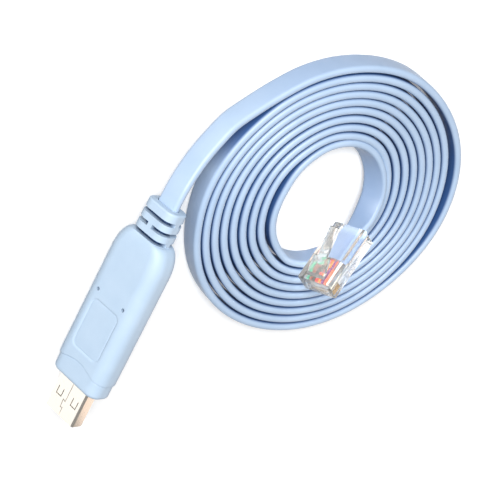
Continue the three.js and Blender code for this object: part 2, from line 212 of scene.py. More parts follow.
@dataclass(frozen=True)
class ExtrudedVinyl:
    """Flexible PVC jacket, extruded: smoother than the moulding, with faint draw lines along its length
    that stretch the highlights on its rims. Shade is painted into its colour as navy where turns face each other,
    and more faintly on the bore's wall, on the outer wall and inside the plug."""

    name: str = "flexible_pvc_extruded_jacket"
    light: str = "#b0c5de"
    deep: str = "#a9bfd9"
    # Painted shade: the navy that the colour is mixed toward between turns, on the bore's wall, on the outer wall
    # and inside the plug.
    painted_shade_colour: str = "#2f568f"
    cloud_mm: float = 9.0
    line_mm: float = 0.3
    line_length: float = 60.0
    line_depth_mm: float = 0.006

    def build(self) -> bpy.types.Material:
        """Makes the material and returns it."""
        material, shader = new_surface(self.name, {"IOR": 1.53, "Specular IOR Level": 0.5})
        tree = material.node_tree
        lines = noise_of(tree, self.line_mm, (self.line_length, 1, 1), 2.0, "UV")
        cloud = noise_of(tree, self.cloud_mm, (1, 1, 1), 2.0)
        open_tone = blend_of(tree, spread(tree, cloud, 0, 1), self.light, self.deep)
        link_to(shader, {
            "Base Color": painted_shade_mix(tree, open_tone, self.painted_shade_colour),
            "Roughness": spread(tree, lines, 0.33, 0.45),
            "Normal": bump_of(tree, lines, self.line_depth_mm),
        })
        return material


@dataclass(frozen=True)
class NickelPlatedSteel:
    """Deep-drawn steel sheet with bright nickel plating: near-mirror, a little warm, with faint drawing
    lines along the plug that blur its reflections one way."""

    name: str = "nickel_plated_steel_drawn_sheet"
    colour: str = "#eae4da"
    line_mm: float = 0.12
    line_depth_mm: float = 0.0003

    def build(self) -> bpy.types.Material:
        """Makes the material and returns it."""
        material, shader = new_surface(self.name, {"Base Color": linear(self.colour), "Metallic": 1.0})
        tree = material.node_tree
        lines = noise_of(tree, self.line_mm, (40, 1, 1), 3.0)
        link_to(shader, {
            "Roughness": spread(tree, lines, 0.16, 0.28), "Normal": bump_of(tree, lines, self.line_depth_mm),
        })
        return material


@dataclass(frozen=True)
class GoldPlatedBronze:
    """Phosphor bronze strip, stamped, with a thin gold plating: a warm satin metal, brighter where the
    stamping has burnished it."""

    name: str = "gold_plated_phosphor_bronze"
    bright: str = "#f0c566"
    deep: str = "#d9a640"
    wear_mm: float = 0.8

    def build(self) -> bpy.types.Material:
        """Makes the material and returns it."""
        material, shader = new_surface(self.name, {"Metallic": 1.0})
        tree = material.node_tree
        wear = noise_of(tree, self.wear_mm, (1, 1, 1), 3.0)
        link_to(shader, {
            "Base Color": blend_of(tree, spread(tree, wear, 0, 1), self.bright, self.deep),
            "Roughness": spread(tree, wear, 0.2, 0.34),
        })
        return material


@dataclass(frozen=True)
class MouldedPolyester:
    """Glass-filled PBT, injection moulded: an opaque, slightly grainy white with a dull sheen."""

    name: str = "glass_filled_pbt_moulded"
    light: str = "#f6f5f0"
    deep: str = "#eceae3"
    # The real glass fibre is near 0.01 mm thick. It is drawn at 0.25 mm so that it shows.
    fibre_mm: float = 0.25
    fibre_depth_mm: float = 0.004

    def build(self) -> bpy.types.Material:
        """Makes the material and returns it."""
        material, shader = new_surface(self.name, {"IOR": 1.55})
        tree = material.node_tree
        fibre = noise_of(tree, self.fibre_mm, (3, 1, 1), 3.0)
        link_to(shader, {
            "Base Color": blend_of(tree, spread(tree, fibre, 0, 1), self.light, self.deep),
            "Roughness": spread(tree, fibre, 0.38, 0.5),
            "Normal": bump_of(tree, fibre, self.fibre_depth_mm),
        })
        return material


@dataclass(frozen=True)
class ClearPolycarbonate:
    """Polycarbonate, injection moulded in a polished mould: water-clear and glossy, with slight flow
    ripples that bend what is seen through it."""

    name: str = "clear_polycarbonate_polished_mould"
    tint: str = "#fcfbf7"
    ripple_mm: float = 2.6
    ripple_depth_mm: float = 0.03

    def build(self) -> bpy.types.Material:
        """Makes the material and returns it."""
        material, shader = new_surface(self.name, {
            "Base Color": linear(self.tint), "IOR": 1.585, "Transmission Weight": 0.95,
        })
        tree = material.node_tree
        ripple = noise_of(tree, self.ripple_mm, (2, 1, 1), 1.0)
        link_to(shader, {
            "Roughness": spread(tree, ripple, 0.05, 0.12), "Normal": bump_of(tree, ripple, self.ripple_depth_mm),
        })
        return material


class CoreColour(Enum):
    """The eight cores, in their order across the plug, with their insulation's colour."""

    GREEN = "#1f9a78"
    BROWN = "#7a3f2c"
    BLACK = "#1d1512"
    RED = "#cf2410"
    ORANGE = "#ee7c06"
    PURPLE = "#6a1f72"
    SALMON = "#d8603e"
    WHITE = "#ece6da"


@dataclass(frozen=True)
class CoreInsulation:
    """Solid-colour PVC insulation, extruded over a stranded core: glossy, with a faint lay of the strands
    that varies its tone along the core."""

    colour: CoreColour
    lay_mm: float = 0.6
    dulled: float = 0.82

    def build(self) -> bpy.types.Material:
        """Makes the material and returns it."""
        name = f"extruded_pvc_core_{self.colour.name.lower()}"
        material, shader = new_surface(name, {"IOR": 1.53, "Roughness": 0.3})
        tree = material.node_tree
        lay = noise_of(tree, self.lay_mm, (4, 1, 1), 2.0)
        full = linear(self.colour.value)
        dull = [self.dulled * channel for channel in full[:3]] + [1.0]
        mixed = add_node(tree, "ShaderNodeMix", {"data_type": "RGBA"}, {
            0: spread(tree, lay, 0, 1), 6: full, 7: dull,
        })
        link_to(shader, {"Base Color": mixed.outputs[2]})
        return material


@dataclass(frozen=True)
class MattPaper:
    """Seamless studio paper, calendered, over a light table: an even, pale, fully matt floor whose shadows
    stay faint."""

    name: str = "seamless_studio_paper"
    light: str = "#f7f8f9"
    deep: str = "#f4f5f6"
    pulp_mm: float = 3.0
    glow: float = 0.2

    def build(self) -> bpy.types.Material:
        """Makes the material and returns it."""
        material, shader = new_surface(self.name, {
            "Roughness": 0.95, "Specular IOR Level": 0.1, "Emission Color": linear("#ffffff"),
            "Emission Strength": self.glow,
        })
        tree = material.node_tree
        pulp = noise_of(tree, self.pulp_mm, (1, 1, 1), 2.0)
        link_to(shader, {"Base Color": blend_of(tree, spread(tree, pulp, 0, 1), self.light, self.deep)})
        return material


# Solids and pieces


@dataclass
class Solid:
    """A closed skin in millimetres: its points, and its faces as point numbers."""

    points: list[Vector]
    faces: list[tuple[int, ...]]

    def joined(self, other: "Solid") -> "Solid":
        """Both skins side by side in one."""
        shift = len(self.points)
        moved = [tuple(i + shift for i in face) for face in other.faces]
        return Solid(self.points + other.points, self.faces + moved)


class Axis(Enum):
    """The axis that a prism runs along, with the axes of its outline."""

    X = (0, 1, 2)
    Y = (1, 0, 2)
    Z = (2, 0, 1)


def skin(rings: Sequence[Sequence[Vector]]) -> Solid:
    """Closes equal rings of points into one skin with flat ends.

    Args:
        rings: the rings in order, each with the same number of points.

    Returns:
        The closed skin.
    """
    size = len(rings[0])
    faces: list[tuple[int, ...]] = []
    for ring in range(len(rings) - 1):
        for i in range(size):
            a, b = ring * size + i, ring * size + (i + 1) % size
            faces.append((a, b, b + size, a + size))
    last = (len(rings) - 1) * size
    faces.append(tuple(reversed(range(size))))
    faces.append(tuple(range(last, last + size)))
    return Solid([point for ring in rings for point in ring], faces)


def prism(outline: Outline, low: float, high: float, axis: Axis) -> Solid:
    """Extrudes an outline along an axis.

    Args:
        outline: the outline's points on the other two axes, in the axis's order.
        low: where it starts on the axis.
        high: where it ends on the axis.
        axis: the axis.

    Returns:
        The prism.
    """
    along, first, second = axis.value
    turn = sum(a[0] * b[1] - b[0] * a[1] for a, b in zip(outline, [*outline[1:], outline[0]]))
    facing_out = outline if (turn > 0) != (axis is Axis.Y) else list(reversed(outline))
    rings = []
    for place in (low, high):
        ring = []
        for u, v in facing_out:
            point = Vector()
            point[along], point[first], point[second] = place, u, v
            ring.append(point)
        rings.append(ring)
    return skin(rings)


def block(low: Sequence[float], high: Sequence[float]) -> Solid:
    """A box given by its two corners."""
    outline = [(low[1], low[2]), (high[1], low[2]), (high[1], high[2]), (low[1], high[2])]
    return prism(outline, low[0], high[0], Axis.X)


def round_outline(width: float, height: float, corner: float, arc: int = 6, side: int = 1) -> Outline:
    """A rectangle with round corners, anticlockwise.

    Args:
        width: its size on the first axis.
        height: its size on the second axis.
        corner: the corner radius.
        arc: the facets of each corner.
        side: the pieces that each straight side is cut into.

    Returns:
        Its points.
    """
    return [point for point, _ in round_outline_with_normals(width, height, corner, arc, side)]


def round_outline_with_normals(
    width: float, height: float, corner: float, arc: int, side: int
) -> list[tuple[tuple[float, float], tuple[float, float]]]:
    """The same rectangle with round corners, with the outward direction at each point."""
    found = []
    quarters = [(1, 1), (-1, 1), (-1, -1), (1, -1)]
    for quarter, (across, up) in enumerate(quarters):
        middle = (across * (width / 2 - corner), up * (height / 2 - corner))
        for i in range(arc + 1):
            angle = (quarter + i / arc) * math.pi / 2
            facing = (math.cos(angle), math.sin(angle))
            found.append(((middle[0] + corner * facing[0], middle[1] + corner * facing[1]), facing))
        after = quarters[(quarter + 1) % 4]
        target = (after[0] * (width / 2 - corner), after[1] * (height / 2 - corner))
        start, facing = found[-1]
        end = (target[0] + corner * facing[0], target[1] + corner * facing[1])
        for i in range(1, side):
            share = i / side
            point = (start[0] + (end[0] - start[0]) * share, start[1] + (end[1] - start[1]) * share)
            found.append((point, facing))
    return found


def circle(radius: float, sides: int) -> Outline:
    """A circle's points, anticlockwise."""
    turns = [i * 2 * math.pi / sides for i in range(sides)]
    return [(radius * math.cos(turn), radius * math.sin(turn)) for turn in turns]


def smooth_step(low: float, high: float, value: float) -> float:
    """0 before low, 1 after high, and an even curve between."""
    share = min(1.0, max(0.0, (value - low) / (high - low)))
    return share * share * (3 - 2 * share)


def catmull_rom(points: Sequence[Vector], spacing: float) -> list[Vector]:
    """A smooth line through points, cut into even steps. More than three numbers a point are carried along.

    Args:
        points: the points, in millimetres.
        spacing: the length of a step.

    Returns:
        The points along the line.
    """
    first, last = 2 * points[0] - points[1], 2 * points[-1] - points[-2]
    ends = [first, *points, last]
    dense: list[Vector] = []
    for i in range(1, len(ends) - 2):
        p = ends[i - 1 : i + 3]
        knots = [0.0]
        for a, b in zip(p, p[1:]):
            knots.append(knots[-1] + max(1e-6, (b.to_3d() - a.to_3d()).length) ** 0.5)
        steps = max(6, int((p[2].to_3d() - p[1].to_3d()).length / spacing * 6))
        for step in range(steps):
            t = knots[1] + (knots[2] - knots[1]) * step / steps
            level = list(p)
            for reach in (1, 2):
                level = [
                    a.lerp(b, (t - knots[k]) / (knots[k + reach] - knots[k]))
                    for k, (a, b) in enumerate(zip(level, level[1:]))
                ]
            dense.append(level[0].lerp(level[1], (t - knots[1]) / (knots[2] - knots[1])))
    dense.append(points[-1].copy())
    travelled = [0.0]
    for a, b in zip(dense, dense[1:]):
        travelled.append(travelled[-1] + (b.to_3d() - a.to_3d()).length)
    total = round(travelled[-1] / spacing)
    line, k = [], 0
    for step in range(total + 1):
        want = travelled[-1] * step / total
        while k < len(dense) - 2 and travelled[k + 1] < want:
            k += 1
        share = (want - travelled[k]) / max(1e-9, travelled[k + 1] - travelled[k])
        line.append(dense[k].lerp(dense[k + 1], min(1.0, share)))
    return line


class Workpiece:
    """One piece in the making, in millimetres, that is cut, joined and rounded, and then put in place."""

    def __init__(self, name: str, solid: Solid) -> None:
        """Starts the piece from a solid.

        Args:
            name: the piece's name.
            solid: its first shape.
        """
        self.obj = self._object(name, solid)

    @staticmethod
    def _object(name: str, solid: Solid) -> bpy.types.Object:
        """Makes a scene object from a solid and returns it."""
        mesh = bpy.data.meshes.new(name)
        mesh.from_pydata([tuple(p) for p in solid.points], [], solid.faces)
        mesh.update()
        obj = bpy.data.objects.new(name, mesh)
        bpy.context.scene.collection.objects.link(obj)
        return obj

    def _apply(self, kind: str, **settings: object) -> "Workpiece":
        """Adds a modifier, keeps its result as the mesh, and returns the piece."""
        modifier = self.obj.modifiers.new(kind.lower(), kind)
        for name, value in settings.items():
            setattr(modifier, name, value)
        depsgraph = bpy.context.evaluated_depsgraph_get()
        made = bpy.data.meshes.new_from_object(self.obj.evaluated_get(depsgraph))
        self.obj.modifiers.clear()
        old, self.obj.data = self.obj.data, made
        bpy.data.meshes.remove(old)
        return self

    def _boolean(self, solids: Iterable[Solid], operation: str) -> "Workpiece":
        """Cuts or joins solids one after another and returns the piece."""
        for solid in solids:
            other = self._object("tool", solid)
            self._apply("BOOLEAN", object=other, operation=operation, solver="EXACT")
            bpy.data.objects.remove(other)
            if not self.obj.data.polygons:
                raise ValueError(f"{self.obj.name}: nothing is left of the piece")
        return self

    def cut(self, *solids: Solid) -> "Workpiece":
        """Cuts solids out and returns the piece."""
        return self._boolean(solids, "DIFFERENCE")

    def join(self, *solids: Solid) -> "Workpiece":
        """Joins solids on and returns the piece."""
        return self._boolean(solids, "UNION")

    def merge(self, other: "Workpiece") -> "Workpiece":
        """Joins another piece on, uses that piece up, and returns this one."""
        self._apply("BOOLEAN", object=other.obj, operation="UNION", solver="EXACT")
        bpy.data.objects.remove(other.obj)
        return self

    def round_edges(self, width: float, segments: int = 2, angle: float = 40.0) -> "Workpiece":
        """Rounds every edge that is sharper than an angle in degrees and returns the piece."""
        return self._apply(
            "BEVEL", width=width, segments=segments, limit_method="ANGLE",
            angle_limit=math.radians(angle), use_clamp_overlap=True,
        )

    def place(self, where: Matrix, material: bpy.types.Material, slot: str, nodes: Sequence[str],
              crease: float = 35.0) -> bpy.types.Object:
        """Puts the piece in the frame, in metres, with its material.

        Args:
            where: the piece's place, in millimetres.
            material: its material.
            slot: the record's material slot, which is only logged.
            nodes: the CAD nodes that it replaces.
            crease: the angle in degrees from which an edge shades sharp.

        Returns:
            The finished object.
        """
        mesh = self.obj.data
        mesh.transform(Matrix.Scale(MM, 4) @ where)
        mesh.materials.clear()
        mesh.materials.append(material)
        for face in mesh.polygons:
            face.material_index = 0
        mesh.shade_smooth()
        mesh.set_sharp_from_angle(angle=math.radians(crease))
        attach(self.obj, BODY)
        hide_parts(*nodes)
        LOG.info("%s: %d faces, slot %s", self.obj.name, len(mesh.polygons), slot)
        return self.obj


# Studio


@dataclass
class Studio:
    """The camera at the photograph's viewing angle, a pale floor and soft light. Places in millimetres."""

    camera_place: tuple[float, float, float] = (-180.59, -265.40, 338.86)
    camera_right: tuple[float, float, float] = (-0.44034, 0.75650, 0.48354)
    camera_back: tuple[float, float, float] = (-0.32615, -0.63652, 0.69891)
    lens: float = 117.9
    floor_radius: float = 6000.0
    floor_sides: int = 64
    below: float = 0.24
    horizon: float = 0.32
    overhead: float = 0.34
    aim: tuple[float, float, float] = (-30, 30, 0)
    key_place: tuple[float, float, float] = (-400, -520, 620)
    key_size: float = 600.0
    key_power: float = 12.0
    rim_place: tuple[float, float, float] = (201, 667, 182)
    rim_size: float = 500.0
    rim_power: float = 0.8
    rim_colour: str = "#ffe4d2"

    def build(self) -> None:
        """Makes the camera, the floor, the sky and the lights."""
        self._camera()
        self._floor()
        self._sky()
        self._light("key", self.key_place, self.key_size, self.key_power)
        self._light("rim", self.rim_place, self.rim_size, self.rim_power, self.rim_colour)
        bpy.context.scene.view_settings.view_transform = "Standard"
        LOG.info("studio: camera, floor, sky and two lights")

    def _camera(self) -> None:
        """Makes the camera and sets it as the scene's."""
        back = Vector(self.camera_back).normalized()
        right = Vector(self.camera_right)
        right = (right - right.dot(back) * back).normalized()
        turned = Matrix((right, back.cross(right), back)).transposed().to_4x4()
        data = bpy.data.cameras.new("camera")
        data.lens = self.lens
        data.sensor_width = 36.0
        data.clip_start = 0.01
        camera = bpy.data.objects.new("camera", data)
        camera.matrix_world = Matrix.Translation(Vector(self.camera_place) * MM) @ turned
        bpy.context.scene.collection.objects.link(camera)
        bpy.context.scene.camera = camera

    def _floor(self) -> None:
        """Makes a wide round floor with its top at height 0."""
        rim = circle(self.floor_radius * MM, self.floor_sides)
        mesh = bpy.data.meshes.new("studio_floor")
        mesh.from_pydata([(x, y, 0) for x, y in rim], [], [tuple(range(self.floor_sides))])
        mesh.materials.append(MattPaper().build())
        floor = bpy.data.objects.new("studio_floor", mesh)
        bpy.context.scene.collection.objects.link(floor)
        # The paper's bounce comes from the sky's lower half, so that the floor is white and stays soft.
        floor.visible_diffuse = False

    def _sky(self) -> None:
        """Sets a white sky that is brighter overhead than at the horizon."""
        world = bpy.data.worlds.new("soft_sky")
        world.use_nodes = True
        background = world.node_tree.nodes["Background"]
        background.inputs["Color"].default_value = linear("#ffffff")
        up = add_node(world.node_tree, "ShaderNodeSeparateXYZ", None, {
            "Vector": add_node(world.node_tree, "ShaderNodeTexCoord").outputs["Generated"],
        }).outputs["Z"]
        low = add_node(world.node_tree, "ShaderNodeMapRange", None, {
            "Value": up, "From Min": -0.15, "From Max": 0.0, "To Min": self.below, "To Max": self.horizon,
        }).outputs["Result"]
        high = add_node(world.node_tree, "ShaderNodeMapRange", None, {
            "Value": up, "From Min": 0.0, "From Max": 1.0, "To Min": 0.0,
            "To Max": self.overhead - self.horizon,
        }).outputs["Result"]
        strength = add_node(world.node_tree, "ShaderNodeMath", {"operation": "ADD"}, {0: low, 1: high})
        world.node_tree.links.new(strength.outputs["Value"], background.inputs["Strength"])
        bpy.context.scene.world = world

    def _light(self, name: str, place: tuple[float, float, float], size: float, power: float,
               colour: str = "#ffffff") -> None:
        """Makes a square soft light that faces the object.

        Args:
            name: the light's name.
            place: where it hangs.
            size: its side.
            power: its power in watts.
            colour: its colour.
        """
        data = bpy.data.lights.new(name, "AREA")
        data.shape = "SQUARE"
        data.size = size * MM
        data.energy = power
        data.color = linear(colour)[:3]
        light = bpy.data.objects.new(name, data)
        aim = (Vector(place) - Vector(self.aim)).to_track_quat("Z", "Y")
        light.matrix_world = Matrix.Translation(Vector(place) * MM) @ aim.to_matrix().to_4x4()
        bpy.context.scene.collection.objects.link(light)


# Modular plug


@dataclass
class ModularPlug:
    """The clear modular plug: its body with the spring latch, eight cores and eight contact blades.
    X runs from its rear to its front, Z across its width, and the latch is on the -Y side."""

    length: float = 21.5
    width: float = 11.7
    thickness: float = 6.6
    edge: float = 0.5
    jacket_depth: float = 12.0
    core_count: int = 8
    core_pitch: float = 1.02
    core_diameter: float = 0.9
    core_end: float = 20.3
    core_gather: float = 0.82
    bay_height: float = 1.3
    blade_thickness: float = 0.3
    blade_length: float = 3.6
    blade_from_front: float = 0.7
    blade_foot: float = 0.9
    tooth_tip: float = 0.12
    tooth_root: float = 0.7
    comb_slot: float = 0.5
    bar_window: tuple[float, float, float] = (3.4, 8.4, 1.2)
    bar_window_from_rear: float = 12.2
    latch_width: float = 6.3
    latch_tail_width: float = 3.3
    # The latch's two profiles: how far back from the front, and how far out from the face.
    latch_root: tuple[tuple[float, float], ...] = (
        (1.2, -0.5), (2.3, 1.1), (7.3, 3.2), (7.3, 2.2), (3.4, 0.5), (4.2, -0.5),
    )
    latch_tail: tuple[tuple[float, float], ...] = ((6.2, 2.75), (16.4, 5.9), (16.4, 4.9), (6.2, 1.75))
    rear: tuple[float, float, float] = (-39.3, 68.8, 9.1)
    yaw: float = -33.5
    pitch: float = 22.3

    @property
    def where(self) -> Matrix:
        """The plug's place in the frame, in millimetres."""
        turned = Euler((0, -math.radians(self.pitch), math.radians(self.yaw)), "XYZ")
        return Matrix.Translation(Vector(self.rear)) @ turned.to_matrix().to_4x4()

    def core_place(self, index: int) -> float:
        """How far a core lies from the middle, across the plug."""
        return (index - (self.core_count - 1) / 2) * self.core_pitch

    def build(self, cable_section: tuple[float, float, float]) -> list[bpy.types.Object]:
        """Makes the plug's pieces.

        Args:
            cable_section: the flat cable's thickness, width and corner radius.

        Returns:
            The pieces, the body first.
        """
        return [self._body(cable_section), *self._cores(), *self._blades()]

    def _latch(self) -> list[Solid]:
        """The latch's wide root and its narrow tail, as two solids that overlap."""
        face = -self.thickness / 2
        made = []
        for profile, width in ((self.latch_root, self.latch_width), (self.latch_tail, self.latch_tail_width)):
            outline = [(self.length - back, face - out) for back, out in profile]
            made.append(prism(outline, -width / 2, width / 2, Axis.Z))
        return made

    def _body(self, cable_section: tuple[float, float, float]) -> bpy.types.Object:
        """Makes the clear body with its hollows and its latch."""
        thick, wide, corner = cable_section
        half = self.thickness / 2
        shell = block((0, -half, -self.width / 2), (self.length, half, self.width / 2))
        piece = Workpiece("plug_body_clear", shell).round_edges(self.edge, 3)
        root, tail = self._latch()
        piece.merge(Workpiece("latch", root).join(tail).round_edges(0.18, 2))
        hole = round_outline(thick + 0.5, wide + 0.5, corner + 0.25, 4)
        bay = (self.core_count - 1) * self.core_pitch + self.core_diameter + 0.3
        start, (long, across, deep) = self.bar_window_from_rear, self.bar_window
        piece.cut(
            prism(hole, -1, self.jacket_depth, Axis.X),
            block((self.jacket_depth - 1, -self.bay_height / 2, -bay / 2),
                  (self.core_end + 0.3, self.bay_height / 2, bay / 2)),
            block((start, -half - 1, -across / 2), (start + long, -half + deep, across / 2)),
        )
        comb_start = self.length - self.blade_from_front - self.blade_length - 0.15
        for index in range(self.core_count):
            z = self.core_place(index)
            piece.cut(block(
                (comb_start, 0.2, z - self.comb_slot / 2),
                (self.length + 1, self.thickness, z + self.comb_slot / 2),
            ))
        body = piece.place(self.where, ClearPolycarbonate().build(), "clear", ["rj45_body"], 30)
        body.visible_shadow = False
        return body

    def _cores(self) -> list[bpy.types.Object]:
        """Makes the eight cores, from the jacket's end to under the blades."""
        made = []
        for index, colour in enumerate(CoreColour):
            z = self.core_place(index)
            gathered = z * self.core_gather
            line = catmull_rom([
                Vector((self.jacket_depth - 1.2, 0, gathered)),
                Vector((self.jacket_depth + 0.6, 0.05 * math.sin(3.1 * index), gathered)),
                Vector((self.jacket_depth + 3.0, 0.06 * math.cos(2.3 * index), z)),
                Vector((self.core_end, 0, z)),
            ], 0.5)
            ring = round_outline(self.core_diameter, self.core_diameter, self.core_diameter / 2 - 0.01, 4)
            rings = [[p + Vector((0, u, v)) for u, v in ring] for p in line]
            piece = Workpiece(f"plug_core_{index + 1}", skin(rings))
            name = colour.name.lower()
            made.append(piece.place(self.where, CoreInsulation(colour).build(), f"wire_{name}",
                                    [f"rj45_wire_{index + 1}"]))
        return made

    def _blades(self) -> list[bpy.types.Object]:
        """Makes the eight contact blades, each with two teeth that bite into its core."""
        gold = GoldPlatedBronze().build()
        front = self.length - self.blade_from_front
        top = self.thickness / 2 - 0.5
        rear = front - self.blade_length
        outline = [
            (rear, self.blade_foot), (rear + 0.3, self.tooth_tip), (rear + 0.9, self.tooth_root),
            (rear + 2.4, self.tooth_root), (rear + 3.0, self.tooth_tip), (front, self.blade_foot),
            (front, top - 0.5), (front - 0.15, top - 0.15), (front - 0.5, top), (rear, top),
        ]
        made = []
        for index in range(self.core_count):
            z = self.core_place(index)
            solid = prism(outline, z - self.blade_thickness / 2, z + self.blade_thickness / 2, Axis.Z)
            piece = Workpiece(f"plug_blade_{index + 1}", solid).round_edges(0.04, 1)
            made.append(piece.place(self.where, gold, "gold", [f"rj45_contact_{index + 1}"]))
        return made


# Flat cable


@dataclass
class FlatCable:
    """The flat eight-core cable: one ribbon of its whole length, from the strain relief down to the floor,
    nine turns inward on its edge, and up into the modular plug."""

    width: float = 7.2
    thickness: float = 2.4
    corner: float = 1.1
    centre: tuple[float, float] = (-45.2, 55.7)
    rest_height: float = 3.62
    pitch: float = 2.88
    radius_at_zero: float = 17.58
    outer_angle: int = 3470
    inner_angle: int = 345
    angle_step: int = 12
    bulge: float = 2.2
    bulge_angle: float = 3345.0
    bulge_spread: float = 36.0
    lead_in: float = 0.45
    lead_in_angle: float = 3375.0
    lead_in_lean: float = 9.0
    # How far the inner, middle and outer turns lie outside an even spiral, every 40 degrees.
    settle_radii: tuple[float, float, float] = (22.0, 31.5, 42.5)
    settle: tuple[tuple[float, float, float], ...] = (
        (0.5, 0.4, 0.0), (0.4, 1.0, 0.3), (0.1, 1.1, 0.5), (-0.1, 0.3, 0.1), (0.6, 0.0, -0.5),
        (0.3, 0.0, -1.4), (-0.9, -0.3, -1.2), (-1.2, -0.4, -0.2), (-0.4, -0.1, 0.3),
    )
    spacing: float = 1.5
    # Lengths along the ribbon for the painted shade: where it first has a turn inside it, and where the turns end.
    wound_from: tuple[float, float] = (25.0, 60.0)
    wound_to: tuple[float, float] = (140.0, 190.0)
    second_turn: tuple[float, float] = (290.0, 310.0)
    # How far from the inner end the plug covers it, and how far down its walls the painted shade begins and is
    # full.
    in_plug: tuple[float, float] = (11.0, 13.0)
    shade_start: float = 0.1
    shade_end: float = 1.25
    # How much painted shade shows on the bore's wall, on the outer wall and inside the plug.
    bore_painted_shade: float = 0.42
    outer_wall_painted_shade: float = 0.3
    plug_painted_shade: float = 0.7

    @property
    def section(self) -> tuple[float, float, float]:
        """The cable's thickness, width and corner radius."""
        return self.thickness, self.width, self.corner

    def _settled(self, degrees: float, radius: float) -> float:
        """How far a turn lies outside the even spiral at an angle and a radius, in millimetres."""
        step = 360 / len(self.settle)
        place = (degrees % 360) / step
        share = smooth_step(0, 1, place % 1)
        before = self.settle[int(place) % len(self.settle)]
        after = self.settle[(int(place) + 1) % len(self.settle)]
        inner, middle, outer = (a + (b - a) * share for a, b in zip(before, after))
        low, mid, high = self.settle_radii
        if radius < mid:
            return inner + (middle - inner) * (radius - low) / (mid - low)
        return middle + (outer - middle) * min(1.0, (radius - mid) / (high - mid))

    def _turns(self) -> list[Vector]:
        """The points of the turns, outermost first, with a fourth number for the lean in degrees."""
        found = []
        for degrees in range(self.outer_angle, self.inner_angle - 1, -self.angle_step):
            away = (degrees - self.bulge_angle) / self.bulge_spread
            radius = self.radius_at_zero + self.pitch * degrees / 360 + self.bulge * math.exp(-away * away)
            angle = math.radians(degrees)
            # Each turn settles a little differently, as wound cable does.
            radius += self._settled(degrees, radius) + 0.07 * math.sin(degrees * 0.0371)
            leaving = smooth_step(self.lead_in_angle, self.outer_angle, degrees)
            radius += self.lead_in * leaving
            lift = 0.08 + 0.08 * math.sin(degrees * 0.0193 + 0.6)
            found.append(Vector((
                self.centre[0] + radius * math.cos(angle), self.centre[1] + radius * math.sin(angle),
                self.rest_height + lift, 1.5 * math.sin(degrees * 0.0147) + self.lead_in_lean * leaving,
            )))
        return found

    def _route(self, plug: ModularPlug, boot: Vector) -> list[Vector]:
        """The ribbon's whole route.

        Args:
            plug: the modular plug at its inner end.
            boot: where it leaves the strain relief.

        Returns:
            Points in millimetres, with the lean in degrees as a fourth number.
        """
        lead = [
            Vector((boot.x + 1.2, boot.y, boot.z, 16)), Vector((boot.x, boot.y, boot.z, 16)),
            Vector((-42, 0.6, 9.4, 14)), Vector((-50, 3.4, 7.6, 11)), Vector((-57, 7.2, 5.9, 9)),
            Vector((-61.7, 10.2, 4.9, 9)), Vector((-66.2, 14.3, 4.2, 9)),
        ]
        tail = [
            (325, 19.3, 3.65, 0), (300, 18.1, 3.65, 0), (270, 17.0, 3.65, 0), (240, 17.9, 3.65, 0),
            (210, 19.3, 3.65, -2), (185, 19.8, 3.65, -8), (160, 19.3, 3.8, -20), (135, 18.2, 4.6, -32),
            (112, 16.9, 5.8, -38), (90, 15.3, 7.4, -26),
        ]
        ends = [Vector((
            self.centre[0] + radius * math.cos(math.radians(angle)),
            self.centre[1] + radius * math.sin(math.radians(angle)), height, lean,
        )) for angle, radius, height, lean in tail]
        depth = plug.jacket_depth - 0.3
        for place in (-1.5, depth / 4, depth / 2, depth * 3 / 4, depth):
            point = plug.where @ Vector((place, 0, 0))
            ends.append(Vector((*point, 0)))
        return lead + self._turns() + ends

    def build(self, plug: ModularPlug, boot: Vector) -> tuple[bpy.types.Object, list[Vector]]:
        """Makes the ribbon.

        Args:
            plug: the modular plug at its inner end.
            boot: where it leaves the strain relief.

        Returns:
            The ribbon, and its ring centres in metres.
        """
        line = catmull_rom(self._route(plug, boot), self.spacing)
        outline = round_outline(self.width, self.thickness, self.corner, 5, 2)
        rings = []
        for i, point in enumerate(line):
            ahead = line[min(i + 1, len(line) - 1)].to_3d() - line[max(i - 1, 0)].to_3d()
            tangent = ahead.normalized()
            outward = tangent.cross(Vector((0, 0, 1))).normalized()
            upright = outward.cross(tangent)
            lean = math.radians(point[3])
            across = upright * math.cos(lean) + outward * math.sin(lean)
            through = tangent.cross(across)
            rings.append([point.to_3d() + across * u + through * v for u, v in outline])
        piece = Workpiece("cable_ribbon", skin(rings))
        self._unwrap(piece.obj.data, len(outline))
        self._paint_wall_shade(piece.obj.data, line, outline)
        nodes = ["cable_lead", "cable_coil", "cable_tail"]
        obj = piece.place(Matrix.Identity(4), ExtrudedVinyl().build(), "cable_blue", nodes, 60)
        return obj, [point.to_3d() * MM for point in line]

    def _paint_wall_shade(self, mesh: bpy.types.Mesh, line: Sequence[Vector], outline: Outline) -> None:
        """Paints shade: gives each point how much painted shade it gets, from 0 to 1: most down between two turns,
        less on the bore's wall, on the outer wall and inside the plug.

        Args:
            mesh: the ribbon's mesh, ring by ring.
            line: the ring centres, in millimetres.
            outline: the ribbon's outline, its width first.
        """
        painted_shade = mesh.attributes.new(PAINTED_SHADE_ATTRIBUTE, "FLOAT", "POINT")
        half, total = self.width / 2, self.spacing * len(line)
        for ring, point in enumerate(line):
            travelled = self.spacing * ring
            wound = smooth_step(*self.wound_from, travelled)
            inner = smooth_step(*self.wound_to, total - travelled)
            covered = smooth_step(*self.second_turn, travelled)
            unplugged = smooth_step(*self.in_plug, total - travelled)
            ahead = (line[min(ring + 1, len(line) - 1)] - line[max(ring - 1, 0)]).to_2d()
            side = 1 if ahead.cross(point.to_2d() - Vector(self.centre)) > 0 else -1
            for i, (up, through) in enumerate(outline):
                if side * through < 0:
                    tone = max(covered * wound, self.outer_wall_painted_shade * (1 - covered) * wound)
                else:
                    tone = max(wound * inner, self.bore_painted_shade * (1 - inner))
                # Painted shade grows from nothing at the top edge to full lower down the walls.
                tone *= smooth_step(self.shade_start - half, self.shade_end - half, -up)
                painted_shade.data[ring * len(outline) + i].value = max(tone, self.plug_painted_shade * (1 - unplugged))

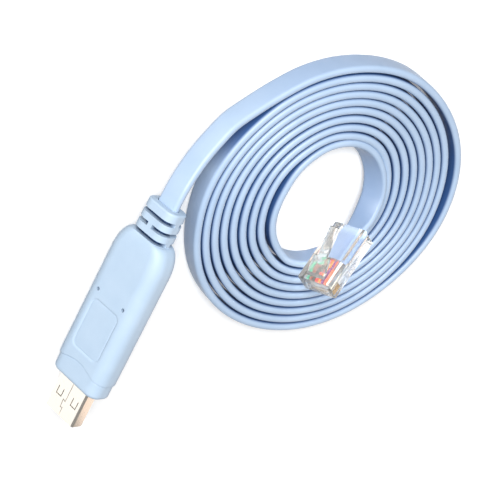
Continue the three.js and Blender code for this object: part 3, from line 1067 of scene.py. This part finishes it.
    def _unwrap(self, mesh: bpy.types.Mesh, size: int) -> None:
        """Gives each face corner its length along the ribbon and its place around it, in metres.

        Args:
            mesh: the ribbon's mesh, ring by ring.
            size: the points of a ring.
        """
        layer = mesh.uv_layers.new(name="along")
        girth = 2 * (self.width + self.thickness) / size
        for face in mesh.polygons:
            around = [mesh.loops[k].vertex_index % size for k in face.loop_indices]
            wraps = max(around) - min(around) > size / 2
            for k, place in zip(face.loop_indices, around):
                ring = mesh.loops[k].vertex_index // size
                turn = place + size if wraps and place < size / 2 else place
                layer.data[k].uv = (ring * self.spacing * MM, turn * girth * MM)


# Adapter housing


class BridgeAt(Enum):
    """Where the two bridges across a strain-relief groove lie."""

    WIDE_FACES = "wide faces"
    NARROW_SIDES = "narrow sides"


@dataclass
class AdapterHousing:
    """The moulded housing with its lower nose, its bare panel, two light holes and the slotted strain
    relief, all one moulding. X runs to the USB tip, Z across the wide faces, and the panel faces -Y."""

    width: float = 19.6
    thickness: float = 9.6
    corner: float = 3.9
    length: float = 49.0
    lean: float = 16.0
    axis_height: float = 9.912
    nose_x: float = 23.75
    shoulder: float = 8.0
    nose_edge: float = 1.3
    nose_step: float = 0.38
    step_middle: float = 7.0
    step_sides: float = 5.0
    neck_width: float = 11.8
    neck_thickness: float = 8.2
    neck_corner: float = 3.2
    neck_length: float = 10.2
    neck_taper: float = 0.5
    neck_edge: float = 0.5
    slot_width: float = 1.2
    slot_depth: float = 2.2
    slot_bridge: float = 1.6
    first_slot: float = 0.7
    slot_spacing: float = 3.15
    panel: tuple[float, float, float] = (15.6, 10.9, 2.0)
    panel_depth: float = 0.22
    groove_depth: float = 0.13
    panel_from_nose: float = 17.9
    light_hole: float = 1.15
    light_hole_depth: float = 3.0
    light_hole_spread: float = 10.8
    light_hole_from_nose: float = 28.4

    @property
    def where(self) -> Matrix:
        """The housing's place in the frame, in millimetres."""
        leaning = Matrix.Rotation(-math.radians(self.lean), 4, "X")
        return Matrix.Translation((0, 0, self.axis_height)) @ leaning

    @property
    def neck_x(self) -> float:
        """Where the housing ends and its strain relief begins."""
        return self.nose_x - self.length

    @property
    def neck_end(self) -> float:
        """Where the strain relief ends."""
        return self.neck_x - self.neck_length

    def _section(self, x: float) -> tuple[float, float, float]:
        """The thickness, width and corner radius of the skin at a place, without the nose's step."""
        if x >= self.neck_x + self.shoulder:
            setback = max(0.0, x - (self.nose_x - self.nose_edge)) / self.nose_edge
            drop = self.nose_edge * (1 - math.sqrt(max(0.0, 1 - setback * setback)))
            return self.thickness - 2 * drop, self.width - 2 * drop, self.corner - drop
        if x >= self.neck_x:
            run = (x - self.neck_x) / self.shoulder
            grown = math.sqrt(max(0.0, 1 - (1 - run) ** 2))
            sizes = ((self.neck_thickness, self.thickness), (self.neck_width, self.width),
                     (self.neck_corner, self.corner))
            return tuple(a + (b - a) * grown for a, b in sizes)
        drop = self.neck_taper / 2 * (self.neck_x - x) / self.neck_length
        setback = max(0.0, self.neck_end + self.neck_edge - x) / self.neck_edge
        drop += self.neck_edge * (1 - math.sqrt(max(0.0, 1 - setback * setback)))
        return self.neck_thickness - 2 * drop, self.neck_width - 2 * drop, self.neck_corner - drop

    def _stations(self) -> list[float]:
        """The places of the skin's rings, close together where its shape turns."""
        found = [self.neck_end + self.neck_edge * (1 - math.cos(i * math.pi / 12)) for i in range(7)]
        found += [self.neck_end + 1.0 + 0.5 * i for i in range(18)]
        found += [self.neck_x + self.shoulder * (1 - math.cos(i * math.pi / 48)) for i in range(24)]
        middle = self.nose_x - (self.step_middle + self.step_sides) / 2
        near = [-0.5, -0.35, -0.2, -0.1, 0.0, 0.1, 0.2, 0.35, 0.5]
        x = self.neck_x + self.shoulder
        while x < middle - 0.7:
            found.append(x)
            x += 0.25
        found += [middle + offset for offset in near]
        x = middle + 0.8
        while x < self.nose_x - self.nose_edge:
            found.append(x)
            x += 0.35
        found += [self.nose_x - self.nose_edge * (1 - math.sin(i * math.pi / 20)) for i in range(11)]
        return found

    def _relief(self, x: float, y: float, z: float) -> float:
        """How deep the skin lies under its plain section at a place: the nose's step and the panel."""
        middle = self.nose_x - (self.step_middle + self.step_sides) / 2
        depth = self.nose_step * smooth_step(middle - 0.08, middle + 0.12, x)
        depth += self.groove_depth * math.exp(-(((x - middle - 0.05) / 0.14) ** 2))
        if y < -self.thickness / 2 + 0.05:
            long, wide, corner = self.panel
            across = abs(x - (self.nose_x - self.panel_from_nose)) - (long / 2 - corner)
            along = abs(z) - (wide / 2 - corner)
            outside = math.hypot(max(across, 0), max(along, 0)) + min(max(across, along), 0) - corner
            depth += self.panel_depth * smooth_step(-0.2, 0.2, -outside)
            depth += self.groove_depth * math.exp(-((outside / 0.2) ** 2))
        return depth

    def _wave(self, z: float) -> float:
        """Where the nose's step runs at a place across the wide faces."""
        share = (1 + math.cos(math.pi * min(1.0, abs(2 * z / self.width)))) / 2
        return self.nose_x - (self.step_sides + (self.step_middle - self.step_sides) * share)

    def _skin(self) -> Solid:
        """The housing's outer skin, with the rings bent to follow the nose's step."""
        middle = self.nose_x - (self.step_middle + self.step_sides) / 2
        rings = []
        for x in self._stations():
            thickness, width, corner = self._section(x)
            window = smooth_step(0, 1, 1 - abs(x - middle) / 3.5)
            ring = []
            section = round_outline_with_normals(thickness, width, max(corner, 0.2), 9, 40)
            for (y, z), (facing_y, facing_z) in section:
                depth = self._relief(x, y, z)
                shift = (self._wave(z) - middle) * window
                ring.append(Vector((x + shift, y - depth * facing_y, z - depth * facing_z)))
            rings.append(ring)
        return skin(rings)

    def _groove(self, row: int) -> list[Solid]:
        """The two halves of one strain-relief groove.

        Args:
            row: the groove's number from the housing.

        Returns:
            Two solids to cut out.
        """
        middle = self.neck_x - self.first_slot - row * self.slot_spacing
        bridge = BridgeAt.WIDE_FACES if row % 2 else BridgeAt.NARROW_SIDES
        thick, wide = self.neck_thickness - 2 * self.slot_depth, self.neck_width - 2 * self.slot_depth
        core = round_outline(thick, wide, self.neck_corner - self.slot_depth, 6)
        reach, half = self.neck_width, self.slot_bridge / 2
        made = []
        for side in (1, -1):
            if bridge is BridgeAt.NARROW_SIDES:
                # The half on one wide face: the core's points on that side, then round the outside.
                points = sorted(((y, z) for y, z in core if side * y > half), key=lambda p: p[1])
                outline = [
                    (side * half, -wide / 2), *points, (side * half, wide / 2), (side * half, reach),
                    (side * reach, reach), (side * reach, -reach), (side * half, -reach),
                ]
            else:
                points = sorted(((y, z) for y, z in core if side * z > half), key=lambda p: p[0])
                outline = [
                    (-thick / 2, side * half), *points, (thick / 2, side * half), (reach, side * half),
                    (reach, side * reach), (-reach, side * reach), (-reach, side * half),
                ]
            made.append(prism(outline, middle - self.slot_width / 2, middle + self.slot_width / 2, Axis.X))
        return made

    def build(self, shell_section: tuple[float, float, float], cable_section: tuple[float, float, float]
              ) -> bpy.types.Object:
        """Makes the housing.

        Args:
            shell_section: the USB shell's thickness, width and corner radius.
            cable_section: the flat cable's thickness, width and corner radius.

        Returns:
            The housing.
        """
        piece = Workpiece("housing_moulding", self._skin())
        for row in range(3):
            piece.cut(*self._groove(row))
        face = -self.thickness / 2
        for side in (-1, 1):
            moved = [(self.nose_x - self.light_hole_from_nose + u, side * self.light_hole_spread / 2 + v)
                     for u, v in circle(self.light_hole / 2, 16)]
            piece.cut(prism(moved, face - 1, face + self.light_hole_depth, Axis.Y))
        thick, wide, corner = shell_section
        pocket = round_outline(thick + 0.16, wide + 0.16, corner + 0.08, 6)
        piece.cut(prism(pocket, self.nose_x - 6.3, self.nose_x + 1, Axis.X))
        thick, wide, corner = cable_section
        entry = round_outline(thick + 0.5, wide + 0.5, corner + 0.25, 5)
        piece.cut(prism(entry, self.neck_end - 1, self.neck_end + 2.0, Axis.X))
        self._paint_hollow_shade(piece.obj.data)
        return piece.place(self.where, MouldedVinyl().build(), "housing_blue", ["adapter_housing"], 30)

    def _paint_hollow_shade(self, mesh: bpy.types.Mesh) -> None:
        """Paints shade: gives each point of the unplaced mesh a painted shade from 0 to 1 by how far it lies down
        in a hole or slot.
        """
        painted_shade = mesh.attributes.new(PAINTED_SHADE_ATTRIBUTE, "FLOAT", "POINT")
        for vertex in mesh.vertices:
            x, y, z = vertex.co
            thickness, width, corner = self._section(x)
            past_y, past_z = abs(y) - (thickness / 2 - corner), abs(z) - (width / 2 - corner)
            depth = corner - math.hypot(max(past_y, 0), max(past_z, 0)) - min(max(past_y, past_z), 0)
            inside = self.neck_end + 0.3 < x < self.nose_x - self.nose_edge
            # Painted shade in the holes and slots, by the depth below the plain section.
            painted_shade.data[vertex.index].value = smooth_step(0.3, self.slot_depth, depth) if inside else 0.0


# USB plug


@dataclass
class UsbPlug:
    """The USB plug: its drawn shell with a dovetailed seam and four windows, the insulator and four
    contacts. It shares the housing's place."""

    width: float = 12.0
    height: float = 4.5
    wall: float = 0.3
    corner: float = 0.7
    exposed: float = 11.7
    buried: float = 6.0
    window_length: float = 2.6
    window_width: float = 2.4
    window_from_tip: float = 6.3
    window_spread: float = 6.4
    window_slit: float = 0.3
    tongue: float = 1.7
    tongue_gap: float = 0.4
    seam: float = 0.18
    contact_places: tuple[float, ...] = (-3.5, -1.0, 1.0, 3.5)

    @property
    def section(self) -> tuple[float, float, float]:
        """The shell's thickness, width and corner radius."""
        return self.height, self.width, self.corner

    def build(self, housing: AdapterHousing) -> list[bpy.types.Object]:
        """Makes the plug's pieces.

        Args:
            housing: the housing that holds the plug.

        Returns:
            The shell, the insulator and the contacts.
        """
        return [self._shell(housing), self._insulator(housing), *self._contacts(housing)]

    def _sleeve(self, stations: Sequence[tuple[float, float]]) -> Solid:
        """A closed sleeve through places along X, each with how far it stands out from the shell."""
        rings = []
        for x, out in stations:
            outline = round_outline(self.height + 2 * out, self.width + 2 * out, self.corner + out, 8, 2)
            rings.append([Vector((x, y, z)) for y, z in outline])
        return skin(rings)

    def _seam_slit(self, nose: float) -> list[Solid]:
        """The seam's thin slit on the panel side, with its dovetail, as a solid for each straight run."""
        line = [(-0.5, 0.0), (6.9, 0.0), (6.6, -1.0), (9.2, -0.75), (8.9, 0.0), (self.exposed + 1, 0.0)]
        made = []
        for start, end in zip(line, line[1:]):
            run = (Vector(end) - Vector(start)).normalized()
            side = Vector((-run.y, run.x)) * self.seam / 2
            over = run * self.seam / 2
            first, last = Vector(start) - over, Vector(end) + over
            corners = [first - side, last - side, last + side, first + side]
            made.append(prism([(nose + c.x, c.y) for c in corners], -self.height, 0.0, Axis.Y))
        return made

    def _window(self, x: float, z: float) -> list[Solid]:
        """The three slits round one spring tab, which stays joined on the housing's side.

        Args:
            x: the tab's middle along the plug.
            z: the tab's middle across it.

        Returns:
            Three solids to cut out of both wide faces.
        """
        long, wide, slit = self.window_length / 2, self.window_width / 2, self.window_slit
        tall = self.height
        return [
            block((x + long - slit, -tall, z - wide), (x + long, tall, z + wide)),
            block((x - long, -tall, z - wide), (x + long, tall, z - wide + slit)),
            block((x - long, -tall, z + wide - slit), (x + long, tall, z + wide)),
        ]

    def _shell(self, housing: AdapterHousing) -> bpy.types.Object:
        """Makes the folded shell."""
        nose = housing.nose_x
        tip, rear = nose + self.exposed, nose - self.buried
        outer = self._sleeve([
            (rear, 0), (tip - 0.22, 0), (tip - 0.1, -0.03), (tip - 0.02, -0.09), (tip, -0.13),
        ])
        inner = self._sleeve([
            (rear - 1, -self.wall), (tip - 0.3, -self.wall), (tip - 0.1, 0.05 - self.wall),
            (tip + 1, 0.07 - self.wall),
        ])
        piece = Workpiece("usb_shell_drawn", outer).cut(inner)
        for side in (-1, 1):
            piece.cut(*self._window(tip - self.window_from_tip, side * self.window_spread / 2))
        piece.cut(*self._seam_slit(nose))
        return piece.place(housing.where, NickelPlatedSteel().build(), "shell_steel", ["usb_shell"], 30)

    def _insulator(self, housing: AdapterHousing) -> bpy.types.Object:
        """Makes the insulator: a block at the back and a tongue with four grooves along the seam side."""
        nose = housing.nose_x
        half, wide = self.height / 2 - self.wall - 0.05, self.width / 2 - self.wall - 0.05
        rear, front = nose - self.buried, nose + self.exposed - 0.5
        tongue_top = -half + self.tongue
        under = self.tongue_gap - half
        piece = Workpiece("usb_insulator_moulded", block((rear, under, -wide), (front, tongue_top, wide)))
        piece.join(block((rear, -half, -wide), (rear + 8.5, half, wide))).round_edges(0.2, 2)
        for z in self.contact_places:
            piece.cut(block((rear + 8.4, tongue_top - 0.25, z - 0.65), (front - 0.6, half, z + 0.65)))
        white = MouldedPolyester().build()
        return piece.place(housing.where, white, "insulator_white", ["usb_insulator"], 30)

    def _contacts(self, housing: AdapterHousing) -> list[bpy.types.Object]:
        """Makes the four contacts, each a strip with a gentle crown and a nose bent down at its tip."""
        gold = GoldPlatedBronze("gold_plated_bronze_strip").build()
        top = -self.height / 2 + self.wall + 0.05 + self.tongue
        front = housing.nose_x + self.exposed - 1.2
        made = []
        for index, z in enumerate(self.contact_places):
            line = [(front - 7.4, top - 0.05), (front - 5.0, top + 0.02), (front - 2.5, top + 0.14),
                    (front - 1.0, top + 0.12), (front - 0.3, top - 0.02), (front, top - 0.2)]
            outline = [(x, y) for x, y in line] + [(x, y - 0.18) for x, y in reversed(line)]
            piece = Workpiece(f"usb_contact_strip_{index + 1}", prism(outline, z - 0.5, z + 0.5, Axis.Z))
            piece.round_edges(0.03, 1, 50)
            made.append(piece.place(housing.where, gold, "gold", [f"usb_contact_{index + 1}"]))
        return made


# The whole object


def main() -> None:
    """Builds the studio and the cable first, then the modular plug, the housing and the USB plug."""
    logging.basicConfig(level=logging.INFO, format="%(name)s: %(message)s")
    Studio().build()
    plug, cable, housing, usb = ModularPlug(), FlatCable(), AdapterHousing(), UsbPlug()
    boot = Vector((housing.neck_end, 0, housing.axis_height))
    ribbon, centres = cable.build(plug, boot)
    plug_pieces = plug.build(cable.section)
    housing.build(usb.section, cable.section)
    usb.build(housing)
    length = sum((b - a).length for a, b in zip(centres, centres[1:]))
    LOG.info("cable route: %.3f m", length)


if __name__ == "__main__":
    main()
